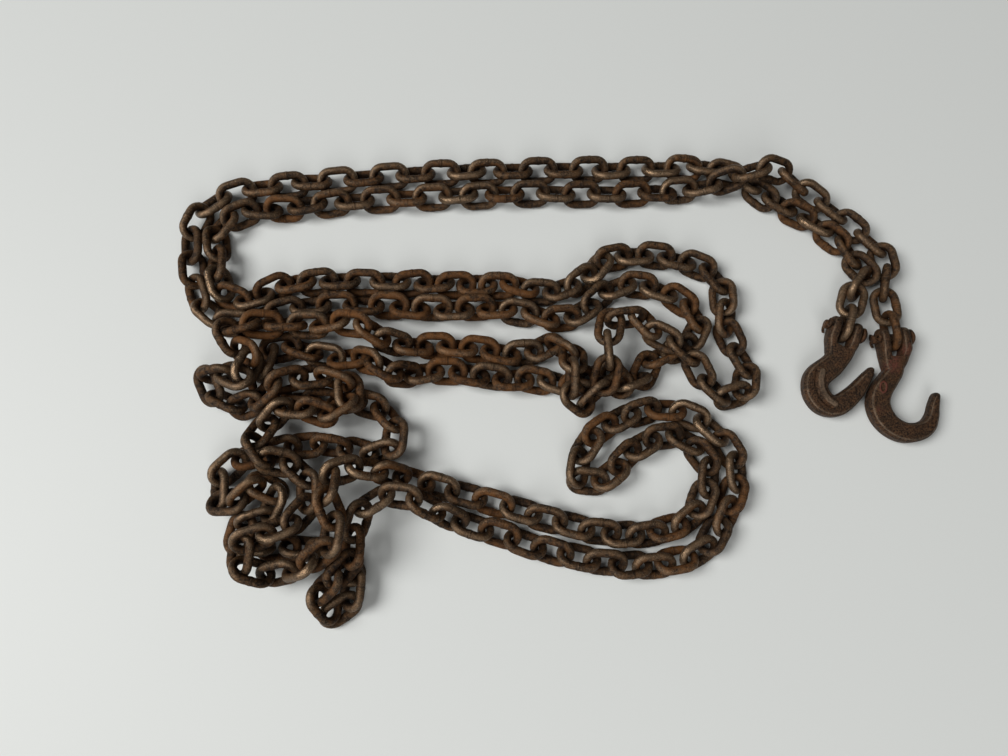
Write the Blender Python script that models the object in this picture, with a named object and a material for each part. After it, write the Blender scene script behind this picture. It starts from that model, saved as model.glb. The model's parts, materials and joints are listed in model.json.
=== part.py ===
"""Heap of steel chain: one long welded chain, folded in half and laid back and forth,
with a clevis slip hook on one end and a clevis grab hook on the other."""
import math

import bmesh
import bpy
import numpy as np
from mathutils import Matrix, Vector

MM = 0.001

# Chain link, in millimetres
WIRE = 7.8
INSIDE_LENGTH = 25.7
INSIDE_WIDTH = 12.5
CROWN_CUT_LENGTH = 8.45
CROWN_CUT_WIDTH = 5.35

# How the links lie
LINK_ROLL = 45.0
LINK_CLEARANCE = 0.4
RUN_CLEARANCE = 0.78
LAYER_RISE = 19.0
TAUT_SLACK = 0.6
PLAN_PITCH_TAUT = 25.1
PLAN_PITCH_USUAL = 23.0
SPACING_PASSES = 150
SETTLING_PASSES = 300
TURNING_ARM = 13.0
PUSH_SHARE = 0.45
HOLD_TO_PLAN = 0.04
SINKING = 0.04
SHORTEST_RUN = 5
LONGEST_RUN = 8
CONTACT_DEPTH = 0.45
MITRE_REACH = 4.0
CROWN_ROOM = 0.1
CORNER_ROOM = 0.3

# Slip hook and grab hook, in millimetres
HOOK_THICKNESS = 16.0
EDGE_CHAMFER = 4.0
EAR_HEIGHT = 20.5
EAR_WIDTH = 11.0
EAR_DEPTH = 22.0
YOKE_DEPTH = 9.0
YOKE_HEIGHT = 15.0
YOKE_INSET = 1.6
FORK_SLOT = 9.8
PIN_DIAMETER = 9.0
PIN_CLEARANCE = 0.35
PIN_HEAD_DIAMETER = 16.0
PIN_HEAD_LENGTH = 4.5
PIN_TAIL = 5.0
COTTER_WIRE = 3.0
COTTER_LENGTH = 15.0
COTTER_CLEARANCE = 0.3
COTTER_CORNERS = 8
CUT_THROUGH = 5.0
CORNERS_ROUND = 12
EAR_TAPER = 0.8
TIP_CHAMFER = 0.6
SHARP_ANGLE = 35.0

# Hooks seen from above: x, y and width of the bar from the fork round to the tip,
# with x and y from the middle of the clevis pin
SLIP_HOOK_BAR = [
    (0.5, -19, 22), (3, -32, 17), (-2, -43, 18), (-8, -55, 20), (-10, -67, 21),
    (-5, -79, 21.5), (5, -87.5, 20.5), (18, -91, 19), (30.5, -88, 17.5), (39.5, -81, 15),
    (43.5, -70.5, 12), (44.5, -60, 10), (46, -50, 6.5),
]
GRAB_HOOK_BAR = [
    (0, -19, 22), (-3, -27, 21), (-10.5, -38, 22.5), (-21.5, -50, 24), (-24.5, -60, 24),
    (-21, -70, 24), (-13, -76.5, 23), (-3, -77, 20.5), (5, -71.5, 19.5), (13.5, -62, 17),
    (20, -51.5, 13.5), (25.5, -41.5, 9.5), (28, -36, 6),
]
SLIP_PIN_PLACE = (327, 107)
GRAB_PIN_PLACE = (279.5, 107)
SLIP_FORK_TURN = 14.0
GRAB_FORK_TURN = -10.0

# Plan of the chain in millimetres: x, y and level of link middles, one or more links apart.
# Both halves start at their hook and end at the bight, where the chain folds.
SLIP_HALF = [
    (327, 116, 0.0), (322, 138, 0.0), (316, 163, 0.0), (313, 187, 0.0),
    (296, 206, 0.0), (277, 226, 0.0), (254, 238, 0.0), (232, 250, 0.3),
    (210, 257, 0.7), (188, 262, 1.0), (168, 251, 0.8), (147, 243, 0.3),
    (101, 228, 0.0), (54, 216, 0.0), (4, 206, 0.0), (-46, 197, 0.0),
    (-96, 186, 0.0), (-145, 174, 0.0), (-195, 162, 0.0), (-242, 149, 0.0),
    (-287, 134, 0.0), (-331, 121, 0.0), (-342, 102, 0.0), (-343, 82, 0.1),
    (-332, 65, 0.3), (-331, 46, 0.2), (-314, 34, 0.1), (-294, 33, 0.0), (-277, 49, 0.0),
    (-238, 63, 0.0), (-192, 72, 0.0), (-142, 80, 0.0), (-101, 86, 0.0),
    (-60, 92, 0.0), (-20, 95, 0.0), (16, 113, 0.0), (46, 140, 0.0),
    (85, 151, 0.0), (126, 149, 0.0), (145, 140, 0.0), (158, 123, 0.0),
    (160, 101, 0.0), (167, 80, 0.0), (182, 60, 0.0), (192, 38, 0.2),
    (178, 19, 0.4), (155, 20, 0.4), (139, 39, 0.8), (121, 55, 1.0),
    (98, 60, 1.0), (79, 71, 1.0), (60, 83, 1.2), (50, 63, 1.0),
    (51, 40, 1.0), (52, 17, 1.1), (45, -5, 0.7), (27, -13, 0.3), (19, 5, 0.9),
    (18, 26, 0.6), (9, 46, 0.3), (-9, 36, 0.1), (-28, 27, 0.0),
    (-69, 24, 0.0), (-112, 20, 0.0), (-152, 14, 0.5), (-190, 22, 1.0),
    (-231, 15, 1.0), (-250, 12, 1.0), (-271, 7, 1.0), (-291, 0, 0.9), (-299, -17, 0.8),
    (-281, -25, 0.9), (-266, -40, 0.9), (-284, -49, 0.9), (-303, -39, 1.0),
    (-308, -58, 0.5), (-290, -67, 0.5), (-270, -66, 0.6), (-253, -54, 1.4), (-236, -41, 1.4),
    (-216, -33, 1.0), (-195, -29, 1.0), (-177, -40, 1.0), (-185, -60, 1.0), (-204, -67, 1.2),
    (-222, -60, 1.5), (-240, -72, 1.0), (-250, -90, 0.8), (-248, -112, 0.8),
    (-228, -114, 1.0), (-207, -118, 1.0),
    (-192, -135, 1.0), (-198, -156, 1.0), (-210, -173, 1.0), (-230, -181, 0.8),
    (-243, -198, 0.5), (-228, -213, 0.4), (-206, -208, 0.8), (-186, -199, 1.4),
    (-166, -190, 1.9), (-161, -168, 2.0), (-168, -147, 2.0), (-180, -129, 1.6),
    (-170, -113, 1.3), (-149, -108, 0.9), (-127, -107, 0.3), (-84, -111, 0.0),
    (-32, -116, 0.0), (18, -122, 0.0), (68, -126, 0.0), (112, -119, 0.0),
    (148, -98, 0.0), (161, -61, 0.0), (153, -40, 0.0), (136, -28, 0.0),
    (116, -27, 0.0), (98, -39, 0.0), (83, -53, 0.0), (73, -71, 0.0),
]
GRAB_HALF = [
    (287, 118, 0.0), (294, 137, 0.4), (295, 156, 0.2), (289, 174, 0.0),
    (278, 191, 0.0), (264, 207, 0.0), (246, 216, 0.0), (227, 224, 0.0),
    (208, 232, 0.0), (188, 241, 0.0), (170, 252, 0.0), (149, 259, 0.0),
    (105, 255, 0.0), (57, 244, 0.0), (7, 234, 0.0),
    (-43, 224, 0.0), (-92, 213, 0.0), (-142, 202, 0.0), (-191, 189, 0.0),
    (-240, 175, 0.0), (-288, 160, 0.0), (-337, 143, 0.0), (-354, 124, 0.0),
    (-366, 103, 0.0), (-362, 79, 0.0), (-357, 55, 0.0), (-342, 37, 0.0),
    (-325, 18, 0.0), (-303, 12, 0.0), (-283, 20, 0.0), (-264, 31, 0.0),
    (-212, 47, 0.0), (-161, 53, 0.0), (-119, 58, 0.0), (-79, 66, 0.0),
    (-40, 72, 0.0), (1, 70, 0.0), (32, 94, 0.0), (54, 115, 0.0),
    (94, 117, 0.0), (115, 110, 0.0), (132, 97, 0.2), (138, 76, 0.3),
    (122, 60, 0.1), (101, 50, 0.0), (88, 33, 0.0), (80, 11, 0.2),
    (64, 20, 0.3), (44, 24, 0.1), (32, 6, 0.0), (10, 6, 0.0), (-13, 5, 0.0),
    (-56, 0, 0.0), (-96, -1, 0.0), (-132, -14, 0.3), (-154, -16, 0.8),
    (-170, -2, 0.4), (-191, -8, 0.1), (-213, -8, 0.0), (-235, -8, 0.0), (-256, -4, 0.0),
    (-267, -23, 0.0), (-262, -44, 0.0), (-247, -60, 0.0), (-226, -55, 0.0),
    (-206, -52, 0.0), (-185, -48, 0.0), (-163, -44, 0.1), (-141, -54, 0.3),
    (-129, -74, 0.6), (-138, -93, 0.5), (-163, -90, 0.1), (-212, -92, 0.0),
    (-234, -103, 0.0), (-256, -111, 0.0), (-276, -124, 0.1), (-280, -147, 0.2),
    (-264, -162, 0.4), (-252, -143, 0.9), (-230, -132, 1.0), (-222, -152, 0.5),
    (-236, -168, 0.2), (-256, -182, 0.2), (-236, -191, 0.0), (-214, -187, 0.0),
    (-193, -183, 0.0), (-172, -186, 0.0), (-152, -192, 0.0), (-140, -209, 0.0),
    (-147, -230, 0.0), (-167, -232, 0.2), (-163, -211, 0.7), (-147, -197, 1.0),
    (-146, -176, 1.0), (-150, -154, 1.1), (-139, -133, 1.2), (-116, -123, 0.9), (-68, -137, 0.0),
    (-22, -143, 0.0), (27, -150, 0.0), (77, -152, 0.0), (120, -146, 0.0),
    (160, -129, 0.0), (180, -92, 0.0), (188, -50, 0.0), (178, -30, 0.0),
    (160, -14, 0.0), (137, -5, 0.0), (114, -3, 0.0), (92, -7, 0.0), (73, -19, 0.0),
    (56, -32, 0.0), (44, -50, 0.0), (39, -71, 0.0),
]

# Twist of the chain away from its usual roll, in degrees, at some links of each half
SLIP_TWISTS = [
    (0, 45), (5, 0), (69, 0), (72, -35), (79, -35), (81, 0), (90, 0), (93, 30), (99, -30),
    (106, 25), (112, -25), (117, 0),
]
GRAB_TWISTS = [
    (0, 45), (5, 0), (60, 0), (63, 35), (66, 0), (78, 0), (82, 35), (86, 0), (94, -25),
    (100, 25), (104, -35), (109, 0),
]

HALF_INSIDE = INSIDE_LENGTH / 2
TAUT_PITCH = INSIDE_LENGTH - TAUT_SLACK
PLAN_SPREAD = TAUT_PITCH / PLAN_PITCH_TAUT
EDGE_HEIGHT = (INSIDE_WIDTH + WIRE) / 2 + WIRE / 2
PIN_TO_LINK = HALF_INSIDE - PIN_DIAMETER / 2 - PIN_CLEARANCE
CROWN_REACH = HALF_INSIDE + WIRE / 2
LEG_REACH = (INSIDE_WIDTH + WIRE) / 2
REST_HEIGHT = LEG_REACH * math.sin(math.radians(LINK_ROLL)) + WIRE / 2


def clear_scene():
    for thing in list(bpy.data.objects):
        bpy.data.objects.remove(thing, do_unlink=True)
    for mesh in list(bpy.data.meshes):
        bpy.data.meshes.remove(mesh)


def smooth_route(points):
    """Joints between links: points half a link apart from the middles that the plan gives."""
    plan = np.array(points, float)
    spans = np.linalg.norm(np.diff(plan[:, :2], axis=0), axis=1)
    at = np.concatenate([[0], np.cumsum(np.maximum(np.round(spans / PLAN_PITCH_USUAL), 1))])
    plan[:, :2] *= PLAN_SPREAD
    plan = np.vstack([2 * plan[0] - plan[1], plan, 2 * plan[-1] - plan[-2]])
    at = np.concatenate([[2 * at[0] - at[1]], at, [2 * at[-1] - at[-2]]])
    joints = []
    for step in np.arange(-0.5, at[-2] + 0.6, 1.0):
        span = int(np.clip(np.searchsorted(at, step, side="right") - 1, 1, len(at) - 3))
        part = (step - at[span]) / (at[span + 1] - at[span])
        width = at[span + 1] - at[span]
        slope_in = (plan[span + 1] - plan[span - 1]) / (at[span + 1] - at[span - 1]) * width
        slope_out = (plan[span + 2] - plan[span]) / (at[span + 2] - at[span]) * width
        joints.append((2 * part**3 - 3 * part**2 + 1) * plan[span]
                      + (part**3 - 2 * part**2 + part) * slope_in
                      + (3 * part**2 - 2 * part**3) * plan[span + 1]
                      + (part**3 - part**2) * slope_out)
    return np.array(joints)


def link_outline():
    """Middle line of a link's wire, as the eight corners of a long ring."""
    corner = [(CROWN_REACH, LEG_REACH - CROWN_CUT_WIDTH), (CROWN_REACH - CROWN_CUT_LENGTH, LEG_REACH)]
    corner += [(-x, y) for x, y in reversed(corner)]
    corner += [(-x, -y) for x, y in corner]
    return np.array(corner)


def link_frames(joints, rolls):
    """Middle, long axis, width axis and normal of the link between each two joints."""
    step = joints[1:] - joints[:-1]
    along = step / np.linalg.norm(step, axis=1)[:, None]
    side = np.cross((0.0, 0.0, 1.0), along)
    side /= np.linalg.norm(side, axis=1)[:, None]
    rise = np.cross(along, side)
    turn = np.radians(rolls)[:, None]
    width = side * np.cos(turn) + rise * np.sin(turn)
    middle = (joints[1:] + joints[:-1]) / 2
    return middle, along, width, np.cross(along, width)


def run_starts(along):
    """First link of each run, so that runs part where the chain bends least.
    The link in each hook's fork is a run of its own."""
    bend = 1 - (along[1:] * along[:-1]).sum(axis=1)
    last_link = len(along) - 1
    fewest, most = round(SHORTEST_RUN), round(LONGEST_RUN)
    starts = [0, 1]
    while last_link - starts[-1] > most:
        choice = np.arange(starts[-1] + fewest, min(starts[-1] + most, last_link - 2) + 1)
        starts.append(int(choice[bend[choice - 1].argmin()]))
    return starts + [last_link]


def ring_points(frames):
    middle, along, width, _ = frames
    ring = link_outline()
    return middle[:, None] + ring[None, :, :1] * along[:, None] + ring[None, :, 1:] * width[:, None]


def nearest(start_a, end_a, start_b, end_b):
    """Point of each straight piece a that is nearest to each piece b, and the way from it to b."""
    run_a, run_b, apart = end_a - start_a, end_b - start_b, start_a - start_b
    aa, bb = (run_a * run_a).sum(-1), (run_b * run_b).sum(-1)
    ab = (run_a * run_b).sum(-1)
    ac, bc = (run_a * apart).sum(-1), (run_b * apart).sum(-1)
    spread = aa * bb - ab * ab
    share_a = np.where(spread > 1e-9, (ab * bc - ac * bb) / np.maximum(spread, 1e-9), 0.0)
    share_b = np.clip((ab * np.clip(share_a, 0, 1) + bc) / bb, 0, 1)
    share_a = np.clip((ab * share_b - ac) / aa, 0, 1)
    at_a = start_a + run_a * share_a[..., None]
    return at_a, start_b + run_b * share_b[..., None] - at_a


def ring_gaps(points, first, second):
    """Shortest way between the wire lines of the links in each pair, and where it starts."""
    start, end = points, np.roll(points, -1, axis=1)
    at, way = nearest(start[first][:, :, None], end[first][:, :, None],
                      start[second][:, None], end[second][:, None])
    length = np.linalg.norm(way, axis=-1).reshape(len(first), -1)
    best = length.argmin(axis=1)
    rows = np.arange(len(first))
    flat = (len(first), -1, 3)
    return length[rows, best], way.reshape(flat)[rows, best], at.reshape(flat)[rows, best], best


def pairs_near(middle):
    """Pairs of links that could touch and aren't hooked together."""
    apart = np.linalg.norm(middle[:, None] - middle[None], axis=-1)
    first, second = np.nonzero(np.triu(apart < 2 * CROWN_REACH + 2 * WIRE, 2))
    return first, second


def space_out(joints, rolls, levels):
    """Move the joints of the chain until its links clear each other, the higher link upwards."""
    joints = joints.copy()
    count = len(joints) - 1
    clear = WIRE + LINK_CLEARANCE
    longest = INSIDE_LENGTH - LINK_CLEARANCE
    shortest = CROWN_REACH + WIRE / 2
    link_level = (levels[1:] + levels[:-1]) / 2
    fixed = [0, 1, 2, -3, -2, -1]
    held = joints[fixed]
    for step in range(SPACING_PASSES):
        frames = link_frames(joints, rolls)
        first, second = pairs_near(frames[0])
        length, way, _, _ = ring_gaps(ring_points(frames), first, second)
        short = clear - length
        tight = short > 0
        first, second, short, way, length = (a[tight] for a in (first, second, short, way, length))
        move = np.zeros((count, 3))
        weight = np.zeros(count)
        higher = link_level[second] - link_level[first]
        stacked = np.abs(higher) > 0.25
        top = np.where(higher > 0, second, first)
        np.add.at(move, top[stacked], short[stacked][:, None] * (0.0, 0.0, 0.8))
        np.add.at(weight, top[stacked], 1)
        flat = way.copy()
        flat[:, 2] *= 0.3
        flat /= np.maximum(np.linalg.norm(flat, axis=1), 1e-6)[:, None]
        beside = ~stacked
        push = flat[beside] * short[beside][:, None] * 0.4
        np.add.at(move, second[beside], push)
        np.add.at(move, first[beside], -push)
        np.add.at(weight, second[beside], 1)
        np.add.at(weight, first[beside], 1)
        move /= np.maximum(weight, 1)[:, None]
        joints[1:] += move / 2
        joints[:-1] += move / 2
        joints[:, 2] = np.maximum(joints[:, 2], REST_HEIGHT)
        for _ in range(4):
            for offset in (0, 1):
                a, b = joints[offset:-1:2], joints[offset + 1::2]
                gap = b - a
                size = np.linalg.norm(gap, axis=1)
                wrong = size - np.clip(size, shortest, longest)
                shift = gap / size[:, None] * wrong[:, None] / 2
                a += shift
                b -= shift
        joints[fixed] = held
    return link_frames(joints, rolls)


def turned(axes, turn):
    """Axes of each link after a small turn, squared up again."""
    moved = axes + np.cross(turn[:, None], axes)
    moved[:, 0] /= np.linalg.norm(moved[:, 0], axis=1)[:, None]
    moved[:, 1] -= (moved[:, 1] * moved[:, 0]).sum(axis=1)[:, None] * moved[:, 0]
    moved[:, 1] /= np.linalg.norm(moved[:, 1], axis=1)[:, None]
    moved[:, 2] = np.cross(moved[:, 0], moved[:, 1])
    return moved


def wire_reach(middle, axes, side, touch, unit):
    """How far a link's four-cornered wire stands out towards another link from the touching point."""
    ring = link_outline()
    count = len(ring)
    way_round = np.roll(ring, -1, axis=0) - ring
    way_round /= np.linalg.norm(way_round, axis=1)[:, None]
    outward = np.stack([way_round[:, 1], -way_round[:, 0]], axis=1)
    mitre = outward + np.roll(outward, 1, axis=0)
    mitre /= np.linalg.norm(mitre, axis=1)[:, None]
    mitre /= (mitre * outward).sum(axis=1)[:, None]
    towards = np.stack([(unit * axes[:, 0]).sum(axis=1), (unit * axes[:, 1]).sum(axis=1)], axis=1)
    reach = np.maximum(np.abs((towards * outward[side]).sum(axis=1)), np.abs((unit * axes[:, 2]).sum(axis=1)))
    for corner in (side, (side + 1) % count):
        at = middle + ring[corner, :1] * axes[:, 0] + ring[corner, 1:] * axes[:, 1]
        close = np.clip(1 - np.linalg.norm(touch - at, axis=1) / MITRE_REACH, 0, 1)
        reach = np.maximum(reach, close * np.abs((towards * mitre[corner]).sum(axis=1)))
    return WIRE / 2 * reach


def settle(frames, starts):
    """Let the stiff links push each other apart and sink. Hooked ones of one run just bear on
    each other, and where two runs meet they keep the clearance."""
    middle, axes = frames[0].copy(), np.stack(frames[1:], axis=1)
    count = len(middle)
    planned = middle.copy(), axes.copy()
    clear = WIRE + LINK_CLEARANCE
    sides = len(link_outline())
    bearing = np.ones(count - 1, bool)
    bearing[np.array(starts[1:]) - 1] = False
    hooked = np.arange(count - 1)
    free = np.ones(count)
    free[[0, 1, -2, -1]] = 0.0
    for step in range(SETTLING_PASSES):
        if step % 10 == 0:
            near = pairs_near(middle)
            first = np.concatenate([hooked, near[0]])
            second = np.concatenate([hooked + 1, near[1]])
        points = ring_points((middle, axes[:, 0], axes[:, 1], None))
        length, way, at, best = ring_gaps(points, first, second)
        unit = way / np.maximum(length, 1e-6)[:, None]
        side_a, side_b = best // sides, best % sides
        reach = (wire_reach(middle[first], axes[first], side_a, at, unit)
                 + wire_reach(middle[second], axes[second], side_b, at + way, unit))
        wanted = np.maximum(reach + LINK_CLEARANCE, clear) + np.where(second - first == 2, CROWN_ROOM, 0.0)
        parted = np.maximum(reach[hooked] + RUN_CLEARANCE, WIRE - CORNER_ROOM)
        wanted[hooked] = np.where(bearing, reach[hooked] - CONTACT_DEPTH, parted)
        error = wanted - length
        acting = (second - first == 1) | (error > 0)
        error = np.clip(error, -0.6, 1.5)
        a, b = first[acting], second[acting]
        error, unit = error[acting], unit[acting]
        arm_a = at[acting] - middle[a]
        arm_b = at[acting] + way[acting] - middle[b]
        twist_a, twist_b = np.cross(arm_a, unit), np.cross(arm_b, unit)
        light_a = free[a] * (1 + (twist_a ** 2).sum(axis=1) / TURNING_ARM ** 2)
        light_b = free[b] * (1 + (twist_b ** 2).sum(axis=1) / TURNING_ARM ** 2)
        push = (error / np.maximum(light_a + light_b, 1e-6) * PUSH_SHARE)[:, None]
        move = np.zeros((count, 3))
        turn = np.zeros((count, 3))
        np.add.at(move, a, -push * unit)
        np.add.at(move, b, push * unit)
        np.add.at(turn, a, -push * twist_a / TURNING_ARM ** 2)
        np.add.at(turn, b, push * twist_b / TURNING_ARM ** 2)
        corner = points[:, :, 2].argmin(axis=1)
        under = np.maximum(WIRE / 2 - points[np.arange(count), corner, 2], 0.0)
        arm = points[np.arange(count), corner] - middle
        twist = np.cross(arm, (0.0, 0.0, 1.0))
        lift = (under / (1 + (twist ** 2).sum(axis=1) / TURNING_ARM ** 2))[:, None]
        move[:, 2] += lift[:, 0]
        turn += lift * twist / TURNING_ARM ** 2
        hold = HOLD_TO_PLAN * max(0.0, 1 - 1.5 * step / SETTLING_PASSES)
        move += hold * (planned[0] - middle)
        turn += hold * np.cross(axes, planned[1]).sum(axis=1) / 2
        if step < SETTLING_PASSES * 0.7:
            move[:, 2] -= SINKING
        middle += move * free[:, None]
        axes = turned(axes, turn * free[:, None])
    return middle, axes[:, 0], axes[:, 1], axes[:, 2]


def material(name, colour, metallic, roughness):
    finish = bpy.data.materials.new(name)
    finish.use_nodes = True
    shader = finish.node_tree.nodes["Principled BSDF"]
    shader.inputs["Base Color"].default_value = (*colour, 1.0)
    shader.inputs["Metallic"].default_value = metallic
    shader.inputs["Roughness"].default_value = roughness
    return finish


def add_object(name, mesh_data, finish):
    mesh = bpy.data.meshes.new(name)
    mesh_data.to_mesh(mesh)
    mesh_data.free()
    mesh.materials.append(finish)
    thing = bpy.data.objects.new(name, mesh)
    bpy.context.scene.collection.objects.link(thing)
    return thing


def bar_mesh(rings):
    """Closed bar through rings of corners, with its two ends capped."""
    solid = bmesh.new()
    rows = [[solid.verts.new(corner) for corner in ring] for ring in rings]
    around = len(rows[0])
    for low, high in zip(rows, rows[1:]):
        for i in range(around):
            j = (i + 1) % around
            solid.faces.new((low[i], low[j], high[j], high[i]))
    solid.faces.new(rows[0][::-1])
    solid.faces.new(rows[-1])
    bmesh.ops.recalc_face_normals(solid, faces=solid.faces)
    return solid


def link_mesh(middle, along, width, normal):
    """One link: a four-cornered wire swept round the link's outline."""
    outline = link_outline()
    solid = bmesh.new()
    rows = []
    for i, corner in enumerate(outline):
        before = corner - outline[i - 1]
        after = outline[(i + 1) % len(outline)] - corner
        before /= np.linalg.norm(before)
        after /= np.linalg.norm(after)
        across = np.array([before[1] + after[1], -before[0] - after[0]])
        across /= np.linalg.norm(across)
        across /= abs(across @ np.array([before[1], -before[0]]))
        flat = across[0] * along + across[1] * width
        at = middle + corner[0] * along + corner[1] * width
        half = WIRE / 2
        ring = [at + half * flat, at + half * normal, at - half * flat, at - half * normal]
        rows.append([solid.verts.new(point * MM) for point in ring])
    for low, high in zip(rows, rows[1:] + rows[:1]):
        for i in range(4):
            j = (i + 1) % 4
            solid.faces.new((low[i], low[j], high[j], high[i]))
    bmesh.ops.recalc_face_normals(solid, faces=solid.faces)
    return solid


def joined(base, pieces):
    """Union of the base object and the pieces, as one closed solid."""
    for piece in pieces:
        union = base.modifiers.new("union", "BOOLEAN")
        union.operation = "UNION"
        union.solver = "EXACT"
        union.object = piece
    bpy.context.view_layer.update()
    graph = bpy.context.evaluated_depsgraph_get()
    mesh = bpy.data.meshes.new_from_object(base.evaluated_get(graph))
    base.modifiers.clear()
    old = base.data
    base.data = mesh
    bpy.data.meshes.remove(old)
    for piece in pieces:
        bpy.data.objects.remove(piece, do_unlink=True)
    tidy = bmesh.new()
    tidy.from_mesh(mesh)
    bmesh.ops.remove_doubles(tidy, verts=tidy.verts, dist=0.000002)
    bmesh.ops.dissolve_degenerate(tidy, edges=tidy.edges, dist=0.000002)
    bmesh.ops.triangulate(tidy, faces=tidy.faces)
    tidy.to_mesh(mesh)
    tidy.free()
    return base


def chain_run(name, frames, first, last, finish):
    """The links from first to last, bearing on each other, as one solid."""
    of_link = [tuple(column[i] for column in frames) for i in range(first, last)]
    base = add_object(name, link_mesh(*of_link[0]), finish)
    pieces = []
    for link in of_link[1:]:
        pieces.append(add_object(name + ".link", link_mesh(*link), finish))
    return joined(base, pieces)


def hook_bar(points):
    """Forged bar of a hook: an eight-cornered section swept round the bowl to the tip."""
    plan = np.array(points, float)
    smooth = []
    for i in range(len(plan) - 1):
        smooth.append(plan[i])
        if 0 < i < len(plan) - 2:
            smooth.append((9 * (plan[i] + plan[i + 1]) - plan[i - 1] - plan[i + 2]) / 16)
    smooth.append(plan[-1])
    smooth = np.array(smooth)
    tangent = np.gradient(smooth[:, :2], axis=0)
    tangent /= np.linalg.norm(tangent, axis=1)[:, None]
    rings = []
    for (x, y, width), (tx, ty) in zip(smooth, tangent):
        half = width / 2
        side = np.array([-ty, tx])
        cut = min(EDGE_CHAMFER, half * TIP_CHAMFER)
        top = HOOK_THICKNESS / 2
        section = [(half, top - cut), (half - cut, top)]
        section += [(-u, v) for u, v in reversed(section)]
        section += [(-u, -v) for u, v in section]
        rings.append([Vector((x + side[0] * u, y + side[1] * u, v)) * MM for u, v in section])
    return bar_mesh(rings)


def ear_mesh(inner, outer):
    """One ear of the fork, from the yoke up round the pin, between two distances from the middle."""
    radius = EAR_HEIGHT / 2
    outline = [(-EAR_DEPTH, -radius * EAR_TAPER), (0.0, -radius)]
    steps = round(CORNERS_ROUND / 2)
    for step in range(1, steps):
        angle = -math.pi / 2 + math.pi * step / steps
        outline.append((radius * math.cos(angle), radius * math.sin(angle)))
    outline += [(0.0, radius), (-EAR_DEPTH, radius * EAR_TAPER)]
    return bar_mesh([[Vector((at, y, z)) * MM for y, z in outline] for at in (inner, outer)])


def round_bar(start, end, radius, corners=CORNERS_ROUND):
    """Straight round bar between two points in millimetres."""
    axis = (Vector(end) - Vector(start)).normalized()
    side = axis.orthogonal().normalized()
    other = axis.cross(side)
    turns = [2 * math.pi * (i + 0.5) / round(corners) for i in range(round(corners))]
    circle = [(side * math.cos(a) + other * math.sin(a)) * radius for a in turns]
    return bar_mesh([[(Vector(at) + point) * MM for point in circle] for at in (start, end)])


def cut_out(base, cutters):
    for cutter in cutters:
        cut = base.modifiers.new("cut", "BOOLEAN")
        cut.operation = "DIFFERENCE"
        cut.solver = "EXACT"
        cut.object = cutter
    return joined(base, [])


def turned_piece(name, mesh_data, turn, finish):
    piece = add_object(name, mesh_data, finish)
    piece.data.transform(turn)
    return piece


def make_hook(name, bar, place, turn, steel, pin_steel):
    """Hook with its fork, clevis pin and cotter, turned in plan and laid on its bowl."""
    fork_turn = Matrix.Rotation(math.radians(turn), 4, "Z")
    hook = add_object(name, hook_bar(bar), steel)
    reach = FORK_SLOT / 2 + EAR_WIDTH
    pieces = []
    for side in (-1, 1):
        ear = ear_mesh(side * FORK_SLOT / 2, side * reach)
        pieces.append(turned_piece(name + ".ear", ear, fork_turn, steel))
    wide, high = reach - YOKE_INSET, YOKE_HEIGHT / 2
    corners = ((-wide, -high), (wide, -high), (wide, high), (-wide, high))
    yoke = bar_mesh([[Vector((u, at, z)) * MM for u, z in corners]
                     for at in (-EAR_DEPTH - YOKE_DEPTH / 2, -EAR_DEPTH + YOKE_DEPTH / 2)])
    pieces.append(turned_piece(name + ".yoke", yoke, fork_turn, steel))
    joined(hook, pieces)
    through = reach + CUT_THROUGH
    hole = round_bar((-through, 0, 0), (through, 0, 0), PIN_DIAMETER / 2 + PIN_CLEARANCE)
    cutter = turned_piece(name + ".hole", hole, fork_turn, steel)
    cut_out(hook, [cutter])
    bpy.data.objects.remove(cutter, do_unlink=True)

    tail, head = -reach - PIN_TAIL, reach + PIN_CLEARANCE
    shank = round_bar((head + PIN_HEAD_LENGTH / 2, 0, 0), (tail, 0, 0), PIN_DIAMETER / 2)
    pin = turned_piece(name + "_pin", shank, fork_turn, pin_steel)
    disc = round_bar((head, 0, 0), (head + PIN_HEAD_LENGTH, 0, 0), PIN_HEAD_DIAMETER / 2)
    joined(pin, [turned_piece(name + ".head", disc, fork_turn, pin_steel)])
    cotter_at = -reach - PIN_TAIL / 2
    through = PIN_DIAMETER / 2 + CUT_THROUGH
    eye = round_bar((cotter_at, 0, -through), (cotter_at, 0, through),
                    COTTER_WIRE / 2 + COTTER_CLEARANCE, COTTER_CORNERS)
    cutter = turned_piece(name + ".eye", eye, fork_turn, pin_steel)
    cut_out(pin, [cutter])
    bpy.data.objects.remove(cutter, do_unlink=True)
    half = COTTER_LENGTH / 2
    wire = round_bar((cotter_at, 0, -half), (cotter_at, 0, half), COTTER_WIRE / 2, COTTER_CORNERS)
    cotter = turned_piece(name + "_cotter", wire, fork_turn, pin_steel)

    slant = math.radians(turn)
    bowl = max(x * math.sin(slant) - y * math.cos(slant) + width / 2 - EDGE_CHAMFER for x, y, width in bar)
    tilt = 0.0
    for _ in range(4):
        tilt = math.asin((EDGE_HEIGHT - HOOK_THICKNESS / 2 * math.cos(tilt)) / bowl)
    pin_axis = fork_turn @ Vector((1, 0, 0))
    at = Matrix.Translation(Vector((*np.array(place) * PLAN_SPREAD, EDGE_HEIGHT)) * MM)
    for piece in (hook, pin, cotter):
        piece.matrix_world = at @ Matrix.Rotation(tilt, 4, pin_axis)
        piece.data.shade_smooth()
        piece.data.set_sharp_from_angle(angle=math.radians(SHARP_ANGLE))
    return hook


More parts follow.
